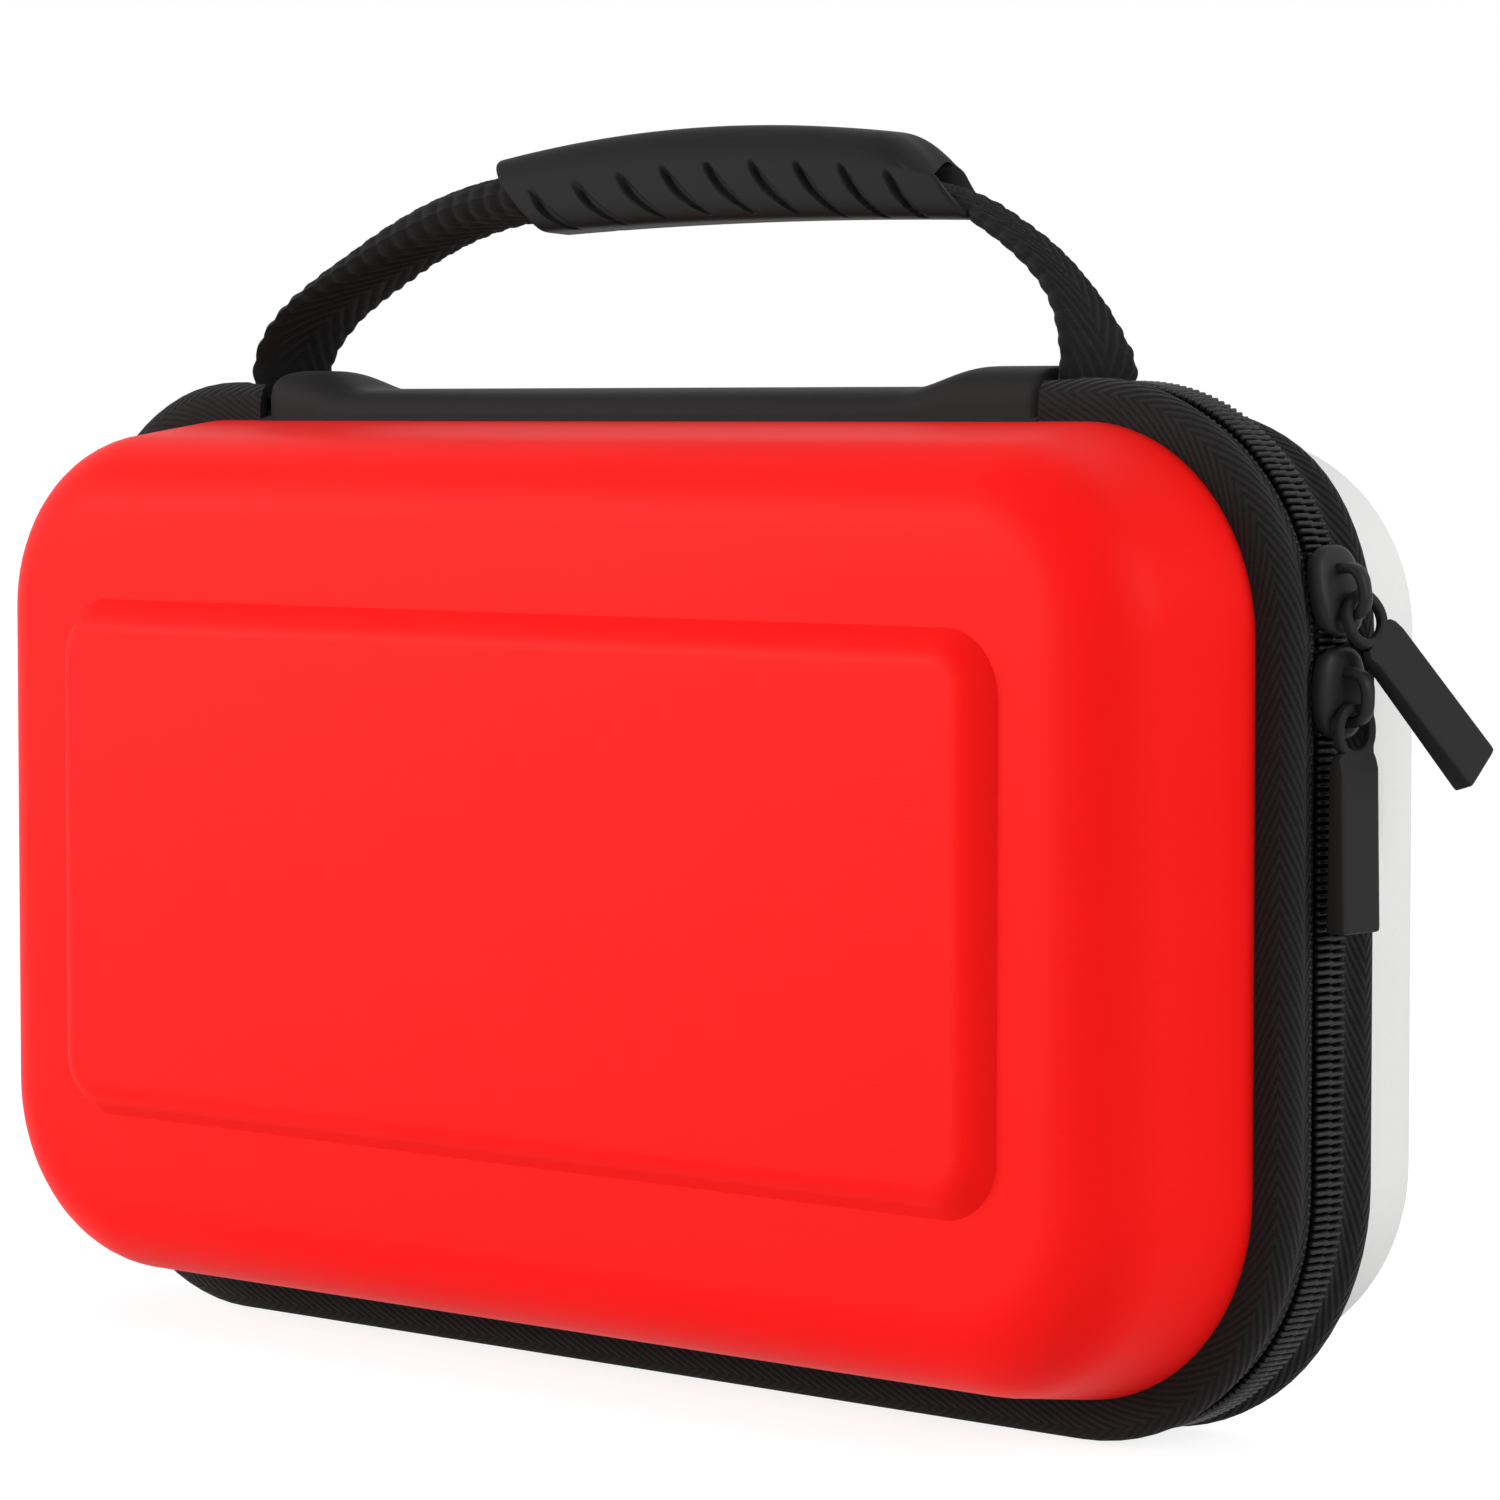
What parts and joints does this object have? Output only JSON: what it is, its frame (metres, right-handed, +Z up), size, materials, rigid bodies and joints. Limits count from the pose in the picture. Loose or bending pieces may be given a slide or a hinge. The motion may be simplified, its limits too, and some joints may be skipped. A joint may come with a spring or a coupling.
{
  "type": "portable game console case",
  "caption": "Rounded hard carrying case for a handheld game console, with a wrap-around zip, raised front panel, padded spine and webbing handle with a grooved grip.",
  "frame": {"origin": "middle of the base line under the zip chain, on the floor that the case stands on", "axes": "+X along the case towards the zip sliders' side, +Y from the front shell towards the back shell, +Z up"},
  "size_m": [0.2812, 0.084, 0.1999],
  "materials": {
    "red_shell": "matte",
    "white_shell": "matte",
    "zip_tape": "matte",
    "zip_coil": "satin",
    "lining": "matte",
    "spine_fabric": "matte",
    "webbing": "matte",
    "grip_rubber": "matte",
    "slider_metal": "satin",
    "pull_rubber": "satin",
    "bed_foam": "matte",
    "elastic": "matte",
    "pocket_fabric": "matte",
    "net": "matte"
  },
  "bodies": {
    "case_back": {"back_shell": "white_shell", "rear_zip_tape": "zip_tape", "rear_zip_coil": "zip_coil", "rear_rim_binding": "lining", "spine_pad": "spine_fabric", "handle_strap": "webbing", "handle_grip": "grip_rubber", "console_bed": "bed_foam", "console_strap": "elastic", "divider_flap": "lining", "upper_card_pockets": "pocket_fabric", "lower_card_pockets": "pocket_fabric"},
    "lid": {"front_shell": "red_shell", "front_zip_tape": "zip_tape", "front_zip_coil": "zip_coil", "front_rim_binding": "lining", "net_pocket": "net", "net_binding": "elastic", "pocket_zip_tape": "zip_tape"},
    "upper_slider": {"upper_zip_slider": "slider_metal"},
    "lower_slider": {"lower_zip_slider": "slider_metal"},
    "upper_pull": {"upper_zip_pull": "pull_rubber"},
    "lower_pull": {"lower_zip_pull": "pull_rubber"},
    "pocket_slider": {"pocket_zip_slider": "slider_metal"},
    "pocket_pull": {"pocket_zip_pull": "pull_rubber"}
  },
  "joints": [
    {"name": "lid_hinge", "type": "hinge", "parent": "case_back", "child": "lid", "pos_m": [0, -0.0108, 0.1535], "axis": [-1, 0, 0], "range_deg": [0, 105]},
    {"name": "upper_slider_run", "type": "hinge", "parent": "case_back", "child": "upper_slider", "pos_m": [0.0955, 0, 0.1215], "axis": [0, -1, 0], "range_deg": [0, 68]},
    {"name": "lower_slider_run", "type": "slide", "parent": "case_back", "child": "lower_slider", "axis": [0, 0, -1], "range_m": [0, 0.068]},
    {"name": "upper_pull_swing", "type": "hinge", "parent": "upper_slider", "child": "upper_pull", "pos_m": [0.13684, -0.00045, 0.12735], "axis": [0.1115, -0.8039, -0.5843], "range_deg": [0, 84]},
    {"name": "lower_pull_swing", "type": "hinge", "parent": "lower_slider", "child": "lower_pull", "pos_m": [0.1372, 0, 0.1119], "axis": [0, -1, 0], "range_deg": [0, 84]},
    {"name": "pocket_slider_run", "type": "slide", "parent": "lid", "child": "pocket_slider", "axis": [-1, 0, 0], "range_m": [0, 0.16]},
    {"name": "pocket_pull_swing", "type": "hinge", "parent": "pocket_slider", "child": "pocket_pull", "pos_m": [0.079, -0.0129, 0.118], "axis": [0, 0, -1], "range_deg": [0, 110]}
  ]
}
